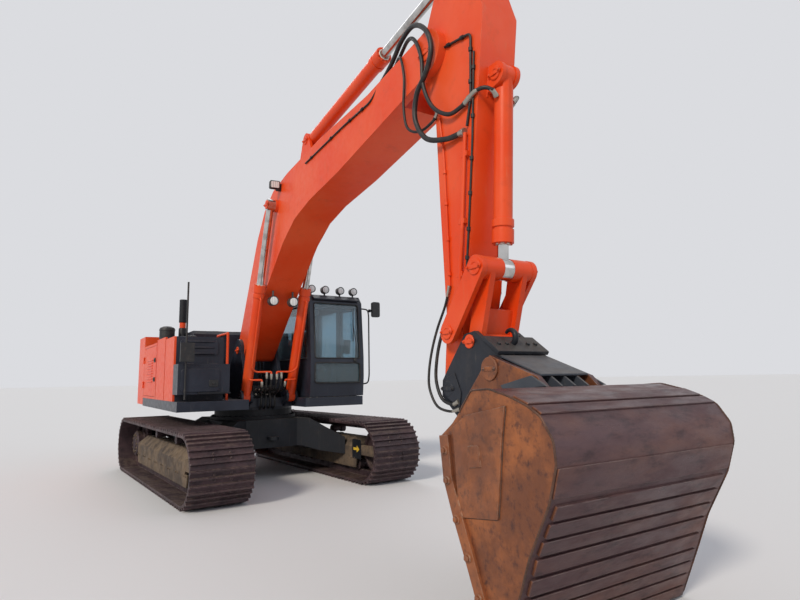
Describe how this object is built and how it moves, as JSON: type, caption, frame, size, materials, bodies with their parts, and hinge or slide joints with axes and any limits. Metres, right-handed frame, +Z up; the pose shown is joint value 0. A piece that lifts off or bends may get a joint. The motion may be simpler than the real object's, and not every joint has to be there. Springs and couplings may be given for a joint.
{
  "type": "crawler excavator",
  "caption": "Tracked digger with a swinging upper structure, bent boom, straight arm, pin coupler and bucket, all moved by cylinders",
  "frame": {"origin": "on the ground at the swing axis", "axes": "+Z up, -Y forwards to the bucket, +X to the cab's side"},
  "size_m": [3.6614, 10.69, 5.5478],
  "materials": {
    "paint_orange": "satin",
    "paint_navy": "satin",
    "paint_black": "semi-gloss",
    "track_steel": "worn, rusty",
    "frame_steel": "dusty, worn",
    "bucket_steel": "rusty, worn",
    "coupler_steel": "worn",
    "rod_chrome": "polished",
    "clear_glass": "clear",
    "seat_cloth": "woven",
    "black_plastic": "moulded",
    "lamp_body": "moulded",
    "bare_iron": "cast",
    "hose_rubber": "moulded"
  },
  "bodies": {
    "undercarriage": {"car_body": "paint_navy", "swing_ring": "paint_black", "track_frames": "frame_steel", "track_left": "track_steel", "track_right": "track_steel", "idlers": "track_steel", "sprockets": "track_steel", "rollers": "track_steel", "travel_motors": "track_steel"},
    "upper": {"upper_frame": "paint_navy", "counterweight": "paint_orange", "engine_housing": "paint_navy", "engine": "bare_iron", "tanks": "paint_navy", "tool_box": "paint_navy", "handrails": "paint_orange", "mirrors": "black_plastic", "exhaust": "paint_orange", "air_cleaner": "black_plastic", "cab_shell": "paint_navy", "cab_glass": "clear_glass", "seat": "seat_cloth", "console": "black_plastic", "cab_lights": "lamp_body", "hydraulics": "paint_black"},
    "cab_door": {"cab_door": "paint_navy", "door_glass": "clear_glass"},
    "hood": {"hood": "paint_navy"},
    "pump_door": {"pump_door": "paint_navy"},
    "cooler_door": {"cooler_door": "paint_navy"},
    "tool_box_lid": {"tool_box_lid": "paint_navy"},
    "boom": {"boom": "paint_orange", "boom_pipes": "paint_orange", "boom_lamps": "lamp_body"},
    "boom_barrels": {"boom_barrels": "paint_orange"},
    "boom_rods": {"boom_rods": "rod_chrome"},
    "arm": {"arm": "paint_orange", "arm_pipes": "paint_orange"},
    "arm_barrel": {"arm_barrel": "paint_orange"},
    "arm_rod": {"arm_rod": "rod_chrome"},
    "bucket_barrel": {"bucket_barrel": "paint_orange"},
    "bucket_rod": {"bucket_rod": "rod_chrome"},
    "rocker": {"rocker_links": "paint_orange"},
    "h_link": {"h_link": "paint_orange"},
    "bucket": {"coupler": "coupler_steel", "bucket": "bucket_steel"}
  },
  "joints": [
    {"name": "swing", "type": "hinge", "parent": "undercarriage", "child": "upper", "pos_m": [0, 0, 1.1], "axis": [0, 0, 1], "continuous": true},
    {"name": "boom_lift", "type": "hinge", "parent": "upper", "child": "boom", "pos_m": [0, -0.1, 2.08], "axis": [-1, 0, 0], "range_deg": [-57, 33]},
    {"name": "arm_swing", "type": "hinge", "parent": "boom", "child": "arm", "pos_m": [0, -5.7, 4.53], "axis": [-1, 0, 0], "range_deg": [-33, 78]},
    {"name": "bucket_curl", "type": "hinge", "parent": "arm", "child": "bucket", "pos_m": [0, -5.87109, 1.46978], "axis": [1, 0, 0], "range_deg": [-8, 150]},
    {"name": "boom_barrel_tilt", "type": "hinge", "parent": "upper", "child": "boom_barrels", "pos_m": [0, -0.74, 1.31], "axis": [-1, 0, 0], "range_deg": [-52.71, 30.73]},
    {"name": "boom_rod_slide", "type": "slide", "parent": "boom_barrels", "child": "boom_rods", "axis": [0, -0.3428, 0.9394], "range_m": [-0.9217, 0.5344]},
    {"name": "arm_barrel_tilt", "type": "hinge", "parent": "boom", "child": "arm_barrel", "pos_m": [0, -2.45, 4.98], "axis": [-1, 0, 0], "range_deg": [-0.61, 0.77]},
    {"name": "arm_rod_slide", "type": "slide", "parent": "arm_barrel", "child": "arm_rod", "axis": [0, -0.9926, 0.1213], "range_m": [-1.2134, 0.5145]},
    {"name": "bucket_barrel_tilt", "type": "hinge", "parent": "arm", "child": "bucket_barrel", "pos_m": [0, -6.43, 4.02], "axis": [-1, 0, 0], "range_deg": [-0.83, 6.66]},
    {"name": "bucket_rod_slide", "type": "slide", "parent": "bucket_barrel", "child": "bucket_rod", "axis": [0, 0.0706, -0.9975], "range_m": [-0.0607, 1.1021]},
    {"name": "rocker_turn", "type": "hinge", "parent": "arm", "child": "rocker", "pos_m": [0, -5.94109, 1.92978], "axis": [-1, 0, 0], "range_deg": [-119.09, 6.82]},
    {"name": "link_turn", "type": "hinge", "parent": "bucket", "child": "h_link", "pos_m": [0, -6.16109, 1.83978], "axis": [-1, 0, 0], "range_deg": [-7.2, 126.2]},
    {"name": "cab_door_swing", "type": "hinge", "parent": "upper", "child": "cab_door", "pos_m": [1.509, -0.333, 1.9], "axis": [0, 0, 1], "range_deg": [0, 165]},
    {"name": "hood_lift", "type": "hinge", "parent": "upper", "child": "hood", "pos_m": [0, 2.06, 2.476], "axis": [-1, 0, 0], "range_deg": [0, 70]},
    {"name": "pump_door_swing", "type": "hinge", "parent": "upper", "child": "pump_door", "pos_m": [-1.494, 2.017, 1.8], "axis": [0, 0, -1], "range_deg": [0, 120]},
    {"name": "cooler_door_swing", "type": "hinge", "parent": "upper", "child": "cooler_door", "pos_m": [1.494, 2.017, 1.8], "axis": [0, 0, 1], "range_deg": [0, 120]},
    {"name": "tool_box_lid_lift", "type": "hinge", "parent": "upper", "child": "tool_box_lid", "pos_m": [-1.115, -0.866, 1.831], "axis": [-1, 0, 0], "range_deg": [0, 85]}
  ],
  "couplings": [
    {"joint": "boom_barrel_tilt", "follows": "boom_lift", "ratio": 0.91594},
    {"joint": "boom_rod_slide", "follows": "boom_lift", "m_per_rad": 0.92443},
    {"joint": "arm_barrel_tilt", "follows": "arm_swing", "ratio": 0.00347},
    {"joint": "arm_rod_slide", "follows": "arm_swing", "m_per_rad": -0.88983},
    {"joint": "bucket_barrel_tilt", "follows": "bucket_curl", "ratio": 0.04108},
    {"joint": "bucket_rod_slide", "follows": "bucket_curl", "m_per_rad": 0.42022},
    {"joint": "rocker_turn", "follows": "bucket_curl", "ratio": -0.79059},
    {"joint": "link_turn", "follows": "bucket_curl", "ratio": 0.83802}
  ]
}
